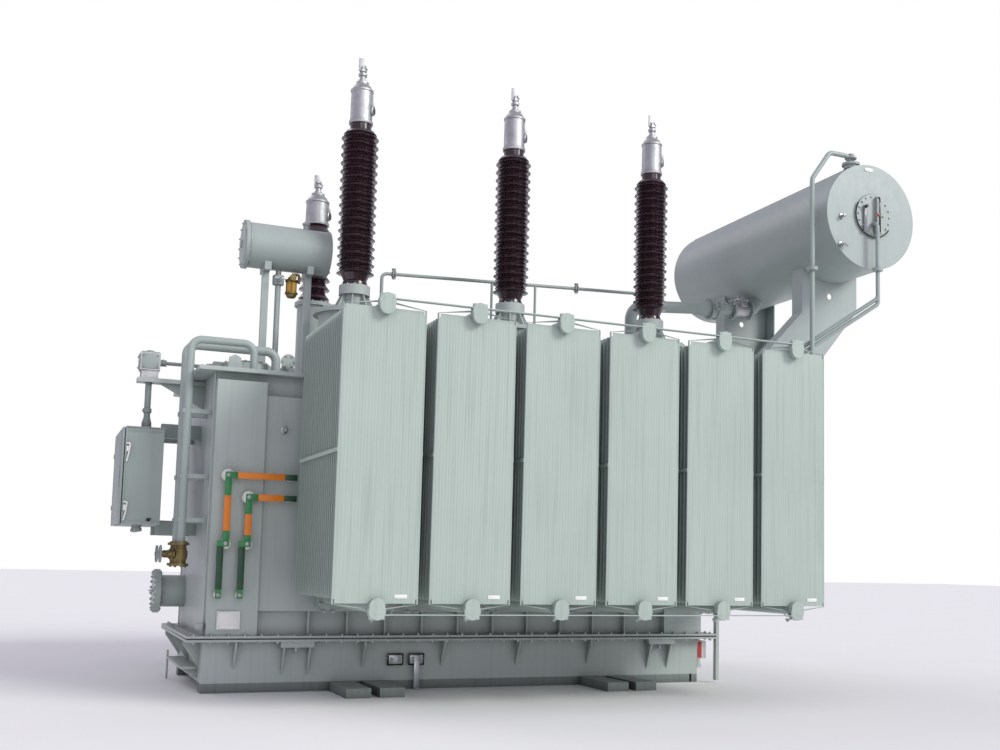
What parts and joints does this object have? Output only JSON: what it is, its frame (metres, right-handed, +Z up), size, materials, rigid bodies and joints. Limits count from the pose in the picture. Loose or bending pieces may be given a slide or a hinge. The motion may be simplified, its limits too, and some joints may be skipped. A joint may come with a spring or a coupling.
{
  "type": "power transformer",
  "caption": "Oil-immersed high-voltage power transformer with plate radiators, porcelain bushings, lying conservator and on-load tap-changer drive",
  "frame": {"origin": "on the ground under the middle of the tank, on the underside of the middle sleeper", "axes": "+X along the long side towards the main conservator, +Y towards the rear radiator row, +Z up"},
  "size_m": [6.178, 4.29, 4.865],
  "materials": {
    "base_steel": "matt dark grey primer, dusty",
    "tank_paint": "semi-gloss grey-green enamel on welded plate",
    "radiator_paint": "semi-gloss light grey-green enamel on pressed sheet",
    "conservator_paint": "semi-gloss blue-grey enamel on rolled plate",
    "pipe_paint": "semi-gloss grey enamel on pipe",
    "porcelain": "dark maroon-brown glazed porcelain",
    "cast_aluminium": "cast aluminium, satin",
    "brass": "yellow brass, slightly dull",
    "wheel_iron": "dark painted cast iron",
    "shaft_steel": "grey painted steel tube",
    "cubicle_paint": "satin grey-green enamel on sheet steel",
    "copper_bar": "bar sleeved orange and green",
    "white_insulator": "cream glazed post insulator",
    "plate_steel": "bare brushed steel plate"
  },
  "bodies": {
    "transformer": {"bar_standoffs": "white_insulator", "base_rails": "base_steel", "bell_tank": "tank_paint", "bevel_gearbox": "cast_aluminium", "breather_pipe": "pipe_paint", "bushing_caps": "cast_aluminium", "bushing_turrets": "tank_paint", "cable_duct": "tank_paint", "conservator_bracket_front": "conservator_paint", "conservator_bracket_rear": "conservator_paint", "conservator_end_front": "conservator_paint", "conservator_end_rear": "conservator_paint", "conservator_shell": "conservator_paint", "cover_stub": "tank_paint", "cubicle_body": "cubicle_paint", "drain_pipes": "pipe_paint", "drive_bracket": "tank_paint", "drive_unit": "cubicle_paint", "earth_bars": "copper_bar", "gas_collecting_pipe": "pipe_paint", "gas_relay": "cast_aluminium", "header_bends_front": "radiator_paint", "header_bends_rear": "radiator_paint", "hv_porcelain_a": "porcelain", "hv_porcelain_b": "porcelain", "hv_porcelain_c": "porcelain", "lower_tank": "tank_paint", "lv_fittings": "tank_paint", "lv_porcelain": "porcelain", "main_oil_pipe": "pipe_paint", "manhole_cover": "tank_paint", "name_plate": "plate_steel", "neutral_porcelain": "porcelain", "radiator_front_1": "radiator_paint", "radiator_front_2": "radiator_paint", "radiator_front_3": "radiator_paint", "radiator_front_4": "radiator_paint", "radiator_front_5": "radiator_paint", "radiator_front_6": "radiator_paint", "radiator_rear_1": "radiator_paint", "radiator_rear_2": "radiator_paint", "radiator_rear_3": "radiator_paint", "radiator_rear_4": "radiator_paint", "radiator_rear_5": "radiator_paint", "radiator_rear_6": "radiator_paint", "radiator_tie_bars": "radiator_paint", "side_oil_pipes": "pipe_paint", "side_valves": "brass", "skids": "base_steel", "small_breather": "brass", "small_conservator": "conservator_paint", "small_conservator_stand": "conservator_paint", "tank_cover": "tank_paint", "tap_changer_head": "tank_paint", "tap_oil_pipe": "pipe_paint"},
    "cubicle_door": {"cubicle_door": "cubicle_paint"},
    "vertical_shaft": {"vertical_drive_shaft": "shaft_steel"},
    "cross_shaft": {"horizontal_drive_shaft": "shaft_steel"},
    "drain_wheel": {"drain_valve_wheel": "wheel_iron"},
    "filter_wheel": {"filter_valve_wheel": "wheel_iron"}
  },
  "joints": [
    {"name": "cubicle_door_hinge", "type": "hinge", "parent": "transformer", "child": "cubicle_door", "pos_m": [-2.48, 0.52, 1.47], "axis": [0, 0, -1], "range_deg": [0, 115]},
    {"name": "vertical_shaft_turn", "type": "hinge", "parent": "transformer", "child": "vertical_shaft", "pos_m": [-2.32, -0.15, 2.03], "axis": [0, 0, 1], "continuous": true},
    {"name": "cross_shaft_turn", "type": "hinge", "parent": "transformer", "child": "cross_shaft", "pos_m": [-2.06, -0.15, 2.3], "axis": [1, 0, 0], "continuous": true},
    {"name": "drain_wheel_turn", "type": "hinge", "parent": "transformer", "child": "drain_wheel", "pos_m": [-2.222, -0.35, 0.93], "axis": [1, 0, 0], "continuous": true},
    {"name": "filter_wheel_turn", "type": "hinge", "parent": "transformer", "child": "filter_wheel", "pos_m": [-2.222, -0.6, 0.93], "axis": [1, 0, 0], "continuous": true}
  ],
  "couplings": [
    {"joint": "cross_shaft_turn", "follows": "vertical_shaft_turn", "ratio": -1}
  ]
}
